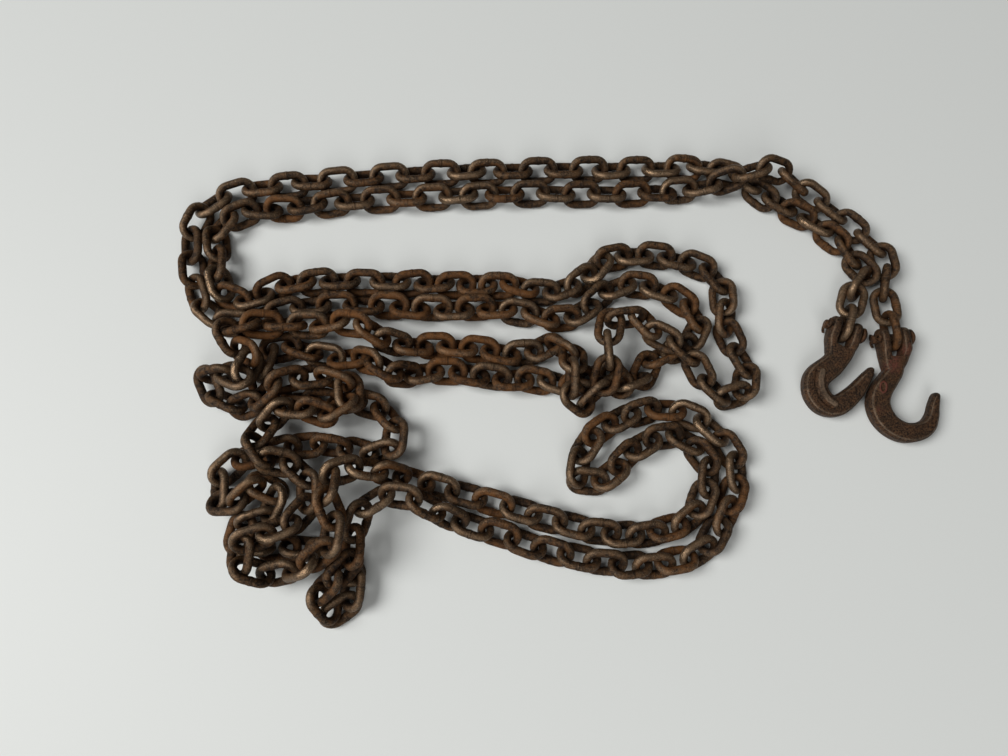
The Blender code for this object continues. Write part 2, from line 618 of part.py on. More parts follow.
def chain_joints():
    """Both halves of the chain in one line from the slip hook to the grab hook."""
    halves = []
    for points, place, turn in ((SLIP_HALF, SLIP_PIN_PLACE, SLIP_FORK_TURN),
                                (GRAB_HALF, GRAB_PIN_PLACE, GRAB_FORK_TURN)):
        up = np.array([-math.sin(math.radians(turn)), math.cos(math.radians(turn))])
        first = np.array(place) * PLAN_SPREAD + up * PIN_TO_LINK
        second = first + up * TAUT_PITCH
        half = smooth_route([(*first / PLAN_SPREAD, 0.0), (*second / PLAN_SPREAD, 0.0)] + points[2:])
        half[:3, :2] = first + np.outer((-0.5, 0.5, 1.5), up) * TAUT_PITCH
        halves.append(half)
    joints = np.vstack([halves[0], halves[1][::-1]])
    levels = joints[:, 2].copy()
    joints[:, 2] = REST_HEIGHT + levels * LAYER_RISE
    joints[[0, 1, 2, -3, -2, -1], 2] = EDGE_HEIGHT
    link = np.arange(len(joints) - 1)
    rolls = np.where(link % 2 == 0, LINK_ROLL, -LINK_ROLL)
    rolls = rolls + np.interp(link, *np.transpose(SLIP_TWISTS))
    rolls = rolls - np.interp(link[::-1], *np.transpose(GRAB_TWISTS))
    return joints, rolls, levels


def stand_on_origin():
    """Move everything so that the origin is on the floor, under the middle of the plan."""
    bpy.context.view_layer.update()
    things = list(bpy.context.scene.objects)
    points = np.array([thing.matrix_world @ vertex.co for thing in things for vertex in thing.data.vertices])
    low, high = points.min(axis=0), points.max(axis=0)
    shift = Matrix.Translation(Vector((-(low[0] + high[0]) / 2, -(low[1] + high[1]) / 2, -low[2])))
    for thing in things:
        thing.matrix_world = shift @ thing.matrix_world


def main():
    clear_scene()
    steel = material("rusty_chain_steel", (0.11, 0.065, 0.042), 0.6, 0.62)
    hook_steel = material("rusty_hook_steel", (0.095, 0.05, 0.034), 0.5, 0.66)
    pin_steel = material("rusty_pin_steel", (0.13, 0.07, 0.04), 0.5, 0.7)
    joints, rolls, levels = chain_joints()
    frames = space_out(joints, rolls, levels)
    starts = run_starts(frames[1])
    frames = settle(frames, starts)
    for number, (start, stop) in enumerate(zip(starts, starts[1:] + [len(rolls)])):
        chain_run(f"chain_run_{number + 1:02d}", frames, start, stop, steel)
    make_hook("slip_hook", SLIP_HOOK_BAR, SLIP_PIN_PLACE, SLIP_FORK_TURN, hook_steel, pin_steel)
    make_hook("grab_hook", GRAB_HOOK_BAR, GRAB_PIN_PLACE, GRAB_FORK_TURN, hook_steel, pin_steel)
    stand_on_origin()


main()
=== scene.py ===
import math

import bmesh
import bpy
import numpy as np
from mathutils import Matrix, Vector
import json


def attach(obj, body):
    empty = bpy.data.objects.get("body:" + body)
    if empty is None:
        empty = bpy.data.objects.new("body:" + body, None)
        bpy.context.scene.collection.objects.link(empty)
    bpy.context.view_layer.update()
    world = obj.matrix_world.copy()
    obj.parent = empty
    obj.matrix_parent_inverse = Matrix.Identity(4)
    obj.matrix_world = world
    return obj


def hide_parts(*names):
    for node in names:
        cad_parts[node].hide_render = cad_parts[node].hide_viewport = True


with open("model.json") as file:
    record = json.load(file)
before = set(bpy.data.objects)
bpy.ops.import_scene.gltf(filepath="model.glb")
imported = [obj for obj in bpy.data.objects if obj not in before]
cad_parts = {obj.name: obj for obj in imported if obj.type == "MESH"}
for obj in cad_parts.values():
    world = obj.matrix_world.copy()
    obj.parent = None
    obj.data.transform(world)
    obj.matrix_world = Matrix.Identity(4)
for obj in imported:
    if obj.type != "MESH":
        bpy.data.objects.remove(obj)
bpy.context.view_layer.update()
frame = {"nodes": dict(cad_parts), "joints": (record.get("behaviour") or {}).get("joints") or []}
print("frame:", len(frame["nodes"]), "solids")

mm = 0.001

camera = {
    "place": (-0.0411, -0.1907, 0.7080), "pitch": 75.5, "roll": 9.8,  # pitch below the horizon
    "lens": 27.04, "sensor": 36.0,
}


def makeCamera():
    data = bpy.data.cameras.new("camera")
    data.lens = camera["lens"]
    data.sensor_width = camera["sensor"]
    data.clip_start = 0.01
    thing = bpy.data.objects.new("camera", data)
    pitch, roll = math.radians(camera["pitch"]), math.radians(camera["roll"])
    up = Vector((0, math.sin(pitch), math.cos(pitch)))
    ahead = Vector((0, math.cos(pitch), -math.sin(pitch)))
    right = Vector((math.cos(roll), 0, 0)) + up * math.sin(roll)
    above = Vector((-math.sin(roll), 0, 0)) + up * math.cos(roll)
    turn = Matrix((right, above, -ahead)).transposed().to_4x4()
    thing.matrix_world = Matrix.Translation(camera["place"]) @ turn
    bpy.context.scene.collection.objects.link(thing)
    bpy.context.scene.camera = thing


makeCamera()

# The chain as it lies, worked out link by link in millimetres
link = {
    "wire": 7.8, "insideLength": 25.7, "insideWidth": 12.5, "crownCutLength": 8.45, "crownCutWidth": 5.35,
}
laying = {
    "roll": 45.0, "clearance": 0.4, "runClearance": 0.78, "layerRise": 19.0, "usualPitch": 23.0,
    "tautPitch": 25.1, "spacingPasses": 150, "settlingPasses": 300, "turningArm": 13.0,
    "pushShare": 0.45, "holdToPlan": 0.04, "sinking": 0.04, "shortestRun": 5, "longestRun": 8,
    "contactDepth": 0.45, "mitreReach": 4.0, "crownRoom": 0.1, "cornerRoom": 0.3,
    "stackedFrom": 0.25, "liftShare": 0.8, "sideShare": 0.4, "flattening": 0.3, "lengthPasses": 4,
    "searchEvery": 10, "mostPull": 0.6, "mostPush": 1.5, "holdFade": 1.5, "sinkingShare": 0.7,
    "bearing": 0.35, "bearingPasses": 120, "bearingHold": 0.03, "roundRoom": 0.05,  # as round wires
}
fork = {
    "pinDiameter": 9.0, "pinClearance": 0.35, "slipPlace": (327, 107), "grabPlace": (279.5, 107),
    "slipTurn": 14.0, "grabTurn": -10.0,
}

# Both halves of the chain run from their hook to the bight, where it folds: x, y and level of link middles
slipHalf = [
    (327, 116, 0.0), (322, 138, 0.0), (316, 163, 0.0), (313, 187, 0.0),
    (296, 206, 0.0), (277, 226, 0.0), (254, 238, 0.0), (232, 250, 0.3),
    (210, 257, 0.7), (188, 262, 1.0), (168, 251, 0.8), (147, 243, 0.3),
    (101, 228, 0.0), (54, 216, 0.0), (4, 206, 0.0), (-46, 197, 0.0),
    (-96, 186, 0.0), (-145, 174, 0.0), (-195, 162, 0.0), (-242, 149, 0.0),
    (-287, 134, 0.0), (-331, 121, 0.0), (-342, 102, 0.0), (-343, 82, 0.1),
    (-332, 65, 0.3), (-331, 46, 0.2), (-314, 34, 0.1), (-294, 33, 0.0), (-277, 49, 0.0),
    (-238, 63, 0.0), (-192, 72, 0.0), (-142, 80, 0.0), (-101, 86, 0.0),
    (-60, 92, 0.0), (-20, 95, 0.0), (16, 113, 0.0), (46, 140, 0.0),
    (85, 151, 0.0), (126, 149, 0.0), (145, 140, 0.0), (158, 123, 0.0),
    (160, 101, 0.0), (167, 80, 0.0), (182, 60, 0.0), (192, 38, 0.2),
    (178, 19, 0.4), (155, 20, 0.4), (139, 39, 0.8), (121, 55, 1.0),
    (98, 60, 1.0), (79, 71, 1.0), (60, 83, 1.2), (50, 63, 1.0),
    (51, 40, 1.0), (52, 17, 1.1), (45, -5, 0.7), (27, -13, 0.3), (19, 5, 0.9),
    (18, 26, 0.6), (9, 46, 0.3), (-9, 36, 0.1), (-28, 27, 0.0),
    (-69, 24, 0.0), (-112, 20, 0.0), (-152, 14, 0.5), (-190, 22, 1.0),
    (-231, 15, 1.0), (-250, 12, 1.0), (-271, 7, 1.0), (-291, 0, 0.9), (-299, -17, 0.8),
    (-281, -25, 0.9), (-266, -40, 0.9), (-284, -49, 0.9), (-303, -39, 1.0),
    (-308, -58, 0.5), (-290, -67, 0.5), (-270, -66, 0.6), (-253, -54, 1.4), (-236, -41, 1.4),
    (-216, -33, 1.0), (-195, -29, 1.0), (-177, -40, 1.0), (-185, -60, 1.0), (-204, -67, 1.2),
    (-222, -60, 1.5), (-240, -72, 1.0), (-250, -90, 0.8), (-248, -112, 0.8),
    (-228, -114, 1.0), (-207, -118, 1.0),
    (-192, -135, 1.0), (-198, -156, 1.0), (-210, -173, 1.0), (-230, -181, 0.8),
    (-243, -198, 0.5), (-228, -213, 0.4), (-206, -208, 0.8), (-186, -199, 1.4),
    (-166, -190, 1.9), (-161, -168, 2.0), (-168, -147, 2.0), (-180, -129, 1.6),
    (-170, -113, 1.3), (-149, -108, 0.9), (-127, -107, 0.3), (-84, -111, 0.0),
    (-32, -116, 0.0), (18, -122, 0.0), (68, -126, 0.0), (112, -119, 0.0),
    (148, -98, 0.0), (161, -61, 0.0), (153, -40, 0.0), (136, -28, 0.0),
    (116, -27, 0.0), (98, -39, 0.0), (83, -53, 0.0), (73, -71, 0.0),
]
grabHalf = [
    (287, 118, 0.0), (294, 137, 0.4), (295, 156, 0.2), (289, 174, 0.0),
    (278, 191, 0.0), (264, 207, 0.0), (246, 216, 0.0), (227, 224, 0.0),
    (208, 232, 0.0), (188, 241, 0.0), (170, 252, 0.0), (149, 259, 0.0),
    (105, 255, 0.0), (57, 244, 0.0), (7, 234, 0.0),
    (-43, 224, 0.0), (-92, 213, 0.0), (-142, 202, 0.0), (-191, 189, 0.0),
    (-240, 175, 0.0), (-288, 160, 0.0), (-337, 143, 0.0), (-354, 124, 0.0),
    (-366, 103, 0.0), (-362, 79, 0.0), (-357, 55, 0.0), (-342, 37, 0.0),
    (-325, 18, 0.0), (-303, 12, 0.0), (-283, 20, 0.0), (-264, 31, 0.0),
    (-212, 47, 0.0), (-161, 53, 0.0), (-119, 58, 0.0), (-79, 66, 0.0),
    (-40, 72, 0.0), (1, 70, 0.0), (32, 94, 0.0), (54, 115, 0.0),
    (94, 117, 0.0), (115, 110, 0.0), (132, 97, 0.2), (138, 76, 0.3),
    (122, 60, 0.1), (101, 50, 0.0), (88, 33, 0.0), (80, 11, 0.2),
    (64, 20, 0.3), (44, 24, 0.1), (32, 6, 0.0), (10, 6, 0.0), (-13, 5, 0.0),
    (-56, 0, 0.0), (-96, -1, 0.0), (-132, -14, 0.3), (-154, -16, 0.8),
    (-170, -2, 0.4), (-191, -8, 0.1), (-213, -8, 0.0), (-235, -8, 0.0), (-256, -4, 0.0),
    (-267, -23, 0.0), (-262, -44, 0.0), (-247, -60, 0.0), (-226, -55, 0.0),
    (-206, -52, 0.0), (-185, -48, 0.0), (-163, -44, 0.1), (-141, -54, 0.3),
    (-129, -74, 0.6), (-138, -93, 0.5), (-163, -90, 0.1), (-212, -92, 0.0),
    (-234, -103, 0.0), (-256, -111, 0.0), (-276, -124, 0.1), (-280, -147, 0.2),
    (-264, -162, 0.4), (-252, -143, 0.9), (-230, -132, 1.0), (-222, -152, 0.5),
    (-236, -168, 0.2), (-256, -182, 0.2), (-236, -191, 0.0), (-214, -187, 0.0),
    (-193, -183, 0.0), (-172, -186, 0.0), (-152, -192, 0.0), (-140, -209, 0.0),
    (-147, -230, 0.0), (-167, -232, 0.2), (-163, -211, 0.7), (-147, -197, 1.0),
    (-146, -176, 1.0), (-150, -154, 1.1), (-139, -133, 1.2), (-116, -123, 0.9), (-68, -137, 0.0),
    (-22, -143, 0.0), (27, -150, 0.0), (77, -152, 0.0), (120, -146, 0.0),
    (160, -129, 0.0), (180, -92, 0.0), (188, -50, 0.0), (178, -30, 0.0),
    (160, -14, 0.0), (137, -5, 0.0), (114, -3, 0.0), (92, -7, 0.0), (73, -19, 0.0),
    (56, -32, 0.0), (44, -50, 0.0), (39, -71, 0.0),
]

# Twist of the chain away from its usual roll, in degrees, at some links of each half
slipTwists = [
    (0, 45), (5, 0), (69, 0), (72, -35), (79, -35), (81, 0), (90, 0), (93, 30), (99, -30),
    (106, 25), (112, -25), (117, 0),
]
grabTwists = [
    (0, 45), (5, 0), (60, 0), (63, 35), (66, 0), (78, 0), (82, 35), (86, 0), (94, -25),
    (100, 25), (104, -35), (109, 0),
]

halfInside = link["insideLength"] / 2
wireRadius = link["wire"] / 2
crownReach = halfInside + wireRadius
legReach = (link["insideWidth"] + link["wire"]) / 2
edgeHeight = legReach + wireRadius
pinToLink = halfInside - fork["pinDiameter"] / 2 - fork["pinClearance"]
restHeight = legReach * math.sin(math.radians(laying["roll"])) + wireRadius
endJoints = [0, 1, 2, -3, -2, -1]  # held in place by the two forks


def smoothRoute(points):
    plan = np.array(points, float)
    spans = np.linalg.norm(np.diff(plan[:, :2], axis=0), axis=1)
    at = np.concatenate([[0], np.cumsum(np.maximum(np.round(spans / laying["usualPitch"]), 1))])
    plan = np.vstack([2 * plan[0] - plan[1], plan, 2 * plan[-1] - plan[-2]])
    at = np.concatenate([[2 * at[0] - at[1]], at, [2 * at[-1] - at[-2]]])
    joints = []
    for step in np.arange(-0.5, at[-2] + 0.6, 1.0):
        span = int(np.clip(np.searchsorted(at, step, side="right") - 1, 1, len(at) - 3))
        part = (step - at[span]) / (at[span + 1] - at[span])
        width = at[span + 1] - at[span]
        slopeIn = (plan[span + 1] - plan[span - 1]) / (at[span + 1] - at[span - 1]) * width
        slopeOut = (plan[span + 2] - plan[span]) / (at[span + 2] - at[span]) * width
        joints.append((2 * part**3 - 3 * part**2 + 1) * plan[span]
                      + (part**3 - 2 * part**2 + part) * slopeIn
                      + (3 * part**2 - 2 * part**3) * plan[span + 1]
                      + (part**3 - part**2) * slopeOut)
    return np.array(joints)


def linkOutline():
    corner = [(crownReach, legReach - link["crownCutWidth"]), (crownReach - link["crownCutLength"], legReach)]
    corner += [(-x, y) for x, y in reversed(corner)]
    corner += [(-x, -y) for x, y in corner]
    return np.array(corner)


def linkFrames(joints, rolls):  # middle, long axis, width axis and normal of each link
    step = joints[1:] - joints[:-1]
    along = step / np.linalg.norm(step, axis=1)[:, None]
    side = np.cross((0.0, 0.0, 1.0), along)
    side /= np.linalg.norm(side, axis=1)[:, None]
    rise = np.cross(along, side)
    turn = np.radians(rolls)[:, None]
    width = side * np.cos(turn) + rise * np.sin(turn)
    middle = (joints[1:] + joints[:-1]) / 2
    return middle, along, width, np.cross(along, width)


def runStarts(along):  # runs part where the chain bends least
    bend = 1 - (along[1:] * along[:-1]).sum(axis=1)
    lastLink = len(along) - 1
    starts = [0, 1]
    while lastLink - starts[-1] > laying["longestRun"]:
        choice = np.arange(starts[-1] + laying["shortestRun"],
                           min(starts[-1] + laying["longestRun"], lastLink - 2) + 1)
        starts.append(int(choice[bend[choice - 1].argmin()]))
    return starts + [lastLink]


def ringPoints(middle, along, width):
    ring = linkOutline()
    return middle[:, None] + ring[None, :, :1] * along[:, None] + ring[None, :, 1:] * width[:, None]


def nearest(startA, endA, startB, endB):
    runA, runB, apart = endA - startA, endB - startB, startA - startB
    aa, bb = (runA * runA).sum(-1), (runB * runB).sum(-1)
    ab = (runA * runB).sum(-1)
    ac, bc = (runA * apart).sum(-1), (runB * apart).sum(-1)
    spread = aa * bb - ab * ab
    shareA = np.where(spread > 1e-9, (ab * bc - ac * bb) / np.maximum(spread, 1e-9), 0.0)
    shareB = np.clip((ab * np.clip(shareA, 0, 1) + bc) / bb, 0, 1)
    shareA = np.clip((ab * shareB - ac) / aa, 0, 1)
    atA = startA + runA * shareA[..., None]
    return atA, startB + runB * shareB[..., None] - atA


def ringGaps(points, first, second):  # shortest way between the wire lines of each pair
    start, end = points, np.roll(points, -1, axis=1)
    at, way = nearest(start[first][:, :, None], end[first][:, :, None],
                      start[second][:, None], end[second][:, None])
    length = np.linalg.norm(way, axis=-1).reshape(len(first), -1)
    best = length.argmin(axis=1)
    rows = np.arange(len(first))
    flat = (len(first), -1, 3)
    return length[rows, best], way.reshape(flat)[rows, best], at.reshape(flat)[rows, best], best


def pairsNear(middle):
    apart = np.linalg.norm(middle[:, None] - middle[None], axis=-1)
    return np.nonzero(np.triu(apart < 2 * crownReach + 2 * link["wire"], 2))


def spaceOut(joints, rolls, levels):  # joints move until the links clear, the higher link upwards
    joints = joints.copy()
    count = len(joints) - 1
    clear = link["wire"] + laying["clearance"]
    longest = link["insideLength"] - laying["clearance"]
    shortest = crownReach + wireRadius
    linkLevel = (levels[1:] + levels[:-1]) / 2
    held = joints[endJoints]
    for _ in range(laying["spacingPasses"]):
        middle, along, width, _ = linkFrames(joints, rolls)
        first, second = pairsNear(middle)
        length, way, _, _ = ringGaps(ringPoints(middle, along, width), first, second)
        short = clear - length
        tight = short > 0
        first, second, short, way = (column[tight] for column in (first, second, short, way))
        move = np.zeros((count, 3))
        weight = np.zeros(count)
        higher = linkLevel[second] - linkLevel[first]
        stacked = np.abs(higher) > laying["stackedFrom"]
        top = np.where(higher > 0, second, first)
        np.add.at(move, top[stacked], short[stacked][:, None] * (0.0, 0.0, laying["liftShare"]))
        np.add.at(weight, top[stacked], 1)
        flat = way.copy()
        flat[:, 2] *= laying["flattening"]
        flat /= np.maximum(np.linalg.norm(flat, axis=1), 1e-6)[:, None]
        beside = ~stacked
        push = flat[beside] * short[beside][:, None] * laying["sideShare"]
        np.add.at(move, second[beside], push)
        np.add.at(move, first[beside], -push)
        np.add.at(weight, second[beside], 1)
        np.add.at(weight, first[beside], 1)
        move /= np.maximum(weight, 1)[:, None]
        joints[1:] += move / 2
        joints[:-1] += move / 2
        joints[:, 2] = np.maximum(joints[:, 2], restHeight)
        for _ in range(laying["lengthPasses"]):
            for offset in (0, 1):
                a, b = joints[offset:-1:2], joints[offset + 1::2]
                gap = b - a
                size = np.linalg.norm(gap, axis=1)
                wrong = size - np.clip(size, shortest, longest)
                shift = gap / size[:, None] * wrong[:, None] / 2
                a += shift
                b -= shift
        joints[endJoints] = held
    return linkFrames(joints, rolls)


def turned(axes, turn):
    moved = axes + np.cross(turn[:, None], axes)
    moved[:, 0] /= np.linalg.norm(moved[:, 0], axis=1)[:, None]
    moved[:, 1] -= (moved[:, 1] * moved[:, 0]).sum(axis=1)[:, None] * moved[:, 0]
    moved[:, 1] /= np.linalg.norm(moved[:, 1], axis=1)[:, None]
    moved[:, 2] = np.cross(moved[:, 0], moved[:, 1])
    return moved


def wireReach(middle, axes, side, touch, unit):  # of the solids' four-cornered wire
    ring = linkOutline()
    count = len(ring)
    wayRound = np.roll(ring, -1, axis=0) - ring
    wayRound /= np.linalg.norm(wayRound, axis=1)[:, None]
    outward = np.stack([wayRound[:, 1], -wayRound[:, 0]], axis=1)
    mitre = outward + np.roll(outward, 1, axis=0)
    mitre /= np.linalg.norm(mitre, axis=1)[:, None]
    mitre /= (mitre * outward).sum(axis=1)[:, None]
    towards = np.stack([(unit * axes[:, 0]).sum(axis=1), (unit * axes[:, 1]).sum(axis=1)], axis=1)
    reach = np.maximum(np.abs((towards * outward[side]).sum(axis=1)), np.abs((unit * axes[:, 2]).sum(axis=1)))
    for corner in (side, (side + 1) % count):
        at = middle + ring[corner, :1] * axes[:, 0] + ring[corner, 1:] * axes[:, 1]
        close = np.clip(1 - np.linalg.norm(touch - at, axis=1) / laying["mitreReach"], 0, 1)
        reach = np.maximum(reach, close * np.abs((towards * mitre[corner]).sum(axis=1)))
    return wireRadius * reach


def settle(frames, starts, roundWire):
    # stiff links push each other apart: first as the solids lie, then with round wires
    middle, axes = frames[0].copy(), np.stack(frames[1:], axis=1)
    count = len(middle)
    planned = middle.copy(), axes.copy()
    clear = link["wire"] + laying["clearance"]
    sides = len(linkOutline())
    bearing = np.ones(count - 1, bool)
    bearing[np.array(starts[1:]) - 1] = False
    hooked = np.arange(count - 1)
    free = np.ones(count)
    free[[0, 1, -2, -1]] = 0.0
    armSquared = laying["turningArm"] ** 2
    passes = laying["bearingPasses"] if roundWire else laying["settlingPasses"]
    for step in range(passes):
        if step % laying["searchEvery"] == 0:
            near = pairsNear(middle)
            first = np.concatenate([hooked, near[0]])
            second = np.concatenate([hooked + 1, near[1]])
        points = ringPoints(middle, axes[:, 0], axes[:, 1])
        length, way, at, best = ringGaps(points, first, second)
        unit = way / np.maximum(length, 1e-6)[:, None]
        if roundWire:
            wanted = link["wire"] + np.where(second - first == 1, -laying["bearing"], laying["roundRoom"])
        else:
            sideA, sideB = best // sides, best % sides
            reach = (wireReach(middle[first], axes[first], sideA, at, unit)
                     + wireReach(middle[second], axes[second], sideB, at + way, unit))
            wanted = np.maximum(reach + laying["clearance"], clear)
            wanted += np.where(second - first == 2, laying["crownRoom"], 0.0)
            parted = np.maximum(reach[hooked] + laying["runClearance"], link["wire"] - laying["cornerRoom"])
            wanted[hooked] = np.where(bearing, reach[hooked] - laying["contactDepth"], parted)
        error = wanted - length
        acting = (second - first == 1) | (error > 0)
        error = np.clip(error, -laying["mostPull"], laying["mostPush"])
        a, b = first[acting], second[acting]
        error, unit = error[acting], unit[acting]
        armA = at[acting] - middle[a]
        armB = at[acting] + way[acting] - middle[b]
        twistA, twistB = np.cross(armA, unit), np.cross(armB, unit)
        lightA = free[a] * (1 + (twistA ** 2).sum(axis=1) / armSquared)
        lightB = free[b] * (1 + (twistB ** 2).sum(axis=1) / armSquared)
        push = (error / np.maximum(lightA + lightB, 1e-6) * laying["pushShare"])[:, None]
        move = np.zeros((count, 3))
        turn = np.zeros((count, 3))
        np.add.at(move, a, -push * unit)
        np.add.at(move, b, push * unit)
        np.add.at(turn, a, -push * twistA / armSquared)
        np.add.at(turn, b, push * twistB / armSquared)
        lowest = points[np.arange(count), points[:, :, 2].argmin(axis=1)]
        under = np.maximum(wireRadius - lowest[:, 2], 0.0)
        twist = np.cross(lowest - middle, (0.0, 0.0, 1.0))
        lift = (under / (1 + (twist ** 2).sum(axis=1) / armSquared))[:, None]
        move[:, 2] += lift[:, 0]
        turn += lift * twist / armSquared
        hold = laying["holdToPlan"] * max(0.0, 1 - laying["holdFade"] * step / passes)
        if roundWire:
            hold = laying["bearingHold"]
        move += hold * (planned[0] - middle)
        turn += hold * np.cross(axes, planned[1]).sum(axis=1) / 2
        if step < passes * laying["sinkingShare"] and not roundWire:
            move[:, 2] -= laying["sinking"]
        middle += move * free[:, None]
        axes = turned(axes, turn * free[:, None])
    return middle, axes[:, 0], axes[:, 1], axes[:, 2]


def chainJoints():
    halves = []
    for points, place, turn in ((slipHalf, fork["slipPlace"], fork["slipTurn"]),
                                (grabHalf, fork["grabPlace"], fork["grabTurn"])):
        up = np.array([-math.sin(math.radians(turn)), math.cos(math.radians(turn))])
        first = np.array(place) + up * pinToLink
        second = first + up * laying["tautPitch"]
        half = smoothRoute([(*first, 0.0), (*second, 0.0)] + points[2:])
        half[:3, :2] = first + np.outer((-0.5, 0.5, 1.5), up) * laying["tautPitch"]
        halves.append(half)
    joints = np.vstack([halves[0], halves[1][::-1]])
    levels = joints[:, 2].copy()
    joints[:, 2] = restHeight + levels * laying["layerRise"]
    joints[endJoints, 2] = edgeHeight
    order = np.arange(len(joints) - 1)
    rolls = np.where(order % 2 == 0, laying["roll"], -laying["roll"])
    rolls = rolls + np.interp(order, *np.transpose(slipTwists))
    rolls = rolls - np.interp(order[::-1], *np.transpose(grabTwists))
    return joints, rolls, levels


joints, rolls, levels = chainJoints()
laid = spaceOut(joints, rolls, levels)
starts = runStarts(laid[1])
asSolids = settle(laid, starts, False)
chain = settle(asSolids, starts, True)
slipPin = Vector(frame["joints"][0]["pos_m"])
laidAt = slipPin - Vector((fork["slipPlace"][0], fork["slipPlace"][1], edgeHeight)) * mm
print("chain:", len(rolls), "links, moved at most",
      round(float(np.linalg.norm(chain[0] - asSolids[0], axis=1).max()), 2), "mm from the solids")


class Value:  # a socket that sums like a number
    def __init__(self, finish, socket):
        self.finish = finish
        self.socket = socket

    def math(self, operation, *values):
        return self.finish.node("ShaderNodeMath", {"operation": operation}, dict(enumerate(values)))

    def __add__(self, other):
        return self.math("ADD", self, other)

    __radd__ = __add__

    def __mul__(self, other):
        return self.math("MULTIPLY", self, other)

    __rmul__ = __mul__

    def __sub__(self, other):
        return self.math("SUBTRACT", self, other)

    def __rsub__(self, other):
        return self.math("SUBTRACT", other, self)


class Finish:  # a material and the nodes behind its shader
    def __init__(self, name):
        self.material = bpy.data.materials.new(name)
        self.material.use_nodes = True
        self.tree = self.material.node_tree
        self.shader = self.tree.nodes["Principled BSDF"]

    def node(self, kind, settings=None, inputs=None, output=0):
        made = self.tree.nodes.new(kind)
        for key, value in (settings or {}).items():
            setattr(made, key, value)
        for key, value in (inputs or {}).items():
            self.feed(made.inputs[key], value)
        return Value(self, made.outputs[output])

    def feed(self, socket, value):
        if isinstance(value, Value):
            self.tree.links.new(value.socket, socket)
        else:
            socket.default_value = value

    def set(self, **values):
        for name, value in values.items():
            self.feed(self.shader.inputs[name.replace("_", " ")], value)

    def place(self):
        return self.node("ShaderNodeTexCoord", output="Object")

    def noise(self, place, scale, detail, roughness=0.55):
        return self.node("ShaderNodeTexNoise", None,
                         {"Vector": place, "Scale": scale, "Detail": detail, "Roughness": roughness})

    def attribute(self, name):
        return self.node("ShaderNodeAttribute", {"attribute_name": name}, output="Fac")

    def between(self, value, low, high):  # smooth 0 to 1 as the value goes from low to high
        return self.node("ShaderNodeMapRange", {"interpolation_type": "SMOOTHSTEP"},
                         {"Value": value, "From Min": low, "From Max": high})

    def mixed(self, share, under, over):
        under, over = (tone if isinstance(tone, Value) else (*tone, 1.0) for tone in (under, over))
        return self.node("ShaderNodeMix", {"data_type": "RGBA"}, {0: share, 6: under, 7: over}, output=2)

    def bump(self, height, distance, strength):
        return self.node("ShaderNodeBump", None,
                         {"Height": height, "Distance": distance, "Strength": strength})


chainSteel = {
    "dark": (0.0085, 0.004, 0.0018), "brown": (0.086, 0.044, 0.0185), "rust": (0.160, 0.063, 0.017),
    # worn is the colour of rubbed steel, also laid on upward faces as painted light
    "wornAndLit": (0.255, 0.172, 0.106), "bare": (0.40, 0.285, 0.185),
    "fleck": 620.0, "grain": 1100.0, "patch": 190.0, "drift": 26.0,  # noise scales, per metre
    "brownRange": (0.58, 0.92), "rustRange": (0.75, 1.25), "wornAndLitRange": (0.85, 1.45),
    # the dark range and share on the wire's flanks, undersides and insides, further on, are painted shade
    "fleckRange": (0.50, 0.64), "paintedShadeRange": (0.2, 0.85), "weldRange": (0.35, 0.75),
    "rustShare": 0.85, "wornAndLitShare": 0.75, "fleckShare": 0.12, "paintedShadeShare": 0.75, "weldShare": 0.35,
    "roughness": 0.50, "metal": 0.36, "specular": 0.22, "bumpDepth": 0.0009, "bumpStrength": 0.75,
}


def chainFinish():
    finish = Finish("rustyChainSteel")
    place = finish.place()
    rust = finish.attribute("rust")
    wearAndPaintedLight = finish.attribute("wearAndPaintedLight")
    weld = finish.attribute("weld")
    grain = finish.noise(place, chainSteel["grain"], 4.0, 0.6)
    patch = finish.noise(place, chainSteel["patch"], 4.0, 0.6)
    drift = finish.noise(place, chainSteel["drift"], 2.0)
    brown = finish.between(patch + grain * 0.5, *chainSteel["brownRange"])
    colour = finish.mixed(brown, chainSteel["dark"], chainSteel["brown"])
    rusty = finish.between(patch * 0.6 + grain * 0.5 + rust * 0.5 + drift * 0.4 - wearAndPaintedLight * 0.25,
                           *chainSteel["rustRange"])
    colour = finish.mixed(rusty * chainSteel["rustShare"], colour, chainSteel["rust"])
    # rubbed steel on the outsides, plus painted light: faces turned up come out lighter and glossier
    rubbedAndLit = finish.between(wearAndPaintedLight + grain * 0.7 - rust * 0.25, *chainSteel["wornAndLitRange"])
    colour = finish.mixed(rubbedAndLit * chainSteel["wornAndLitShare"], colour, chainSteel["wornAndLit"])
    fleck = finish.between(finish.noise(place, chainSteel["fleck"], 3.0, 0.7), *chainSteel["fleckRange"])
    colour = finish.mixed(fleck * (chainSteel["fleckShare"] + rubbedAndLit * 0.4), colour, chainSteel["bare"])
    paintedShade = 1 - finish.between(wearAndPaintedLight + grain * 0.3, *chainSteel["paintedShadeRange"])  # painted shade: the wire's flanks, undersides and insides are darkened
    colour = finish.mixed(paintedShade * chainSteel["paintedShadeShare"], colour, chainSteel["dark"])
    seam = finish.between(weld, *chainSteel["weldRange"])
    colour = finish.mixed(seam * chainSteel["weldShare"], colour, chainSteel["dark"])
    relief = grain * 0.6 + fleck * 0.12 + patch * 0.8 - seam * 0.2
    finish.set(Base_Color=colour, Metallic=chainSteel["metal"] + rubbedAndLit * 0.54,
               Roughness=chainSteel["roughness"] + grain * 0.24 + rusty * 0.16 - rubbedAndLit * 0.42,
               Specular_IOR_Level=chainSteel["specular"],
               Normal=finish.bump(relief, chainSteel["bumpDepth"], chainSteel["bumpStrength"]))
    return finish.material


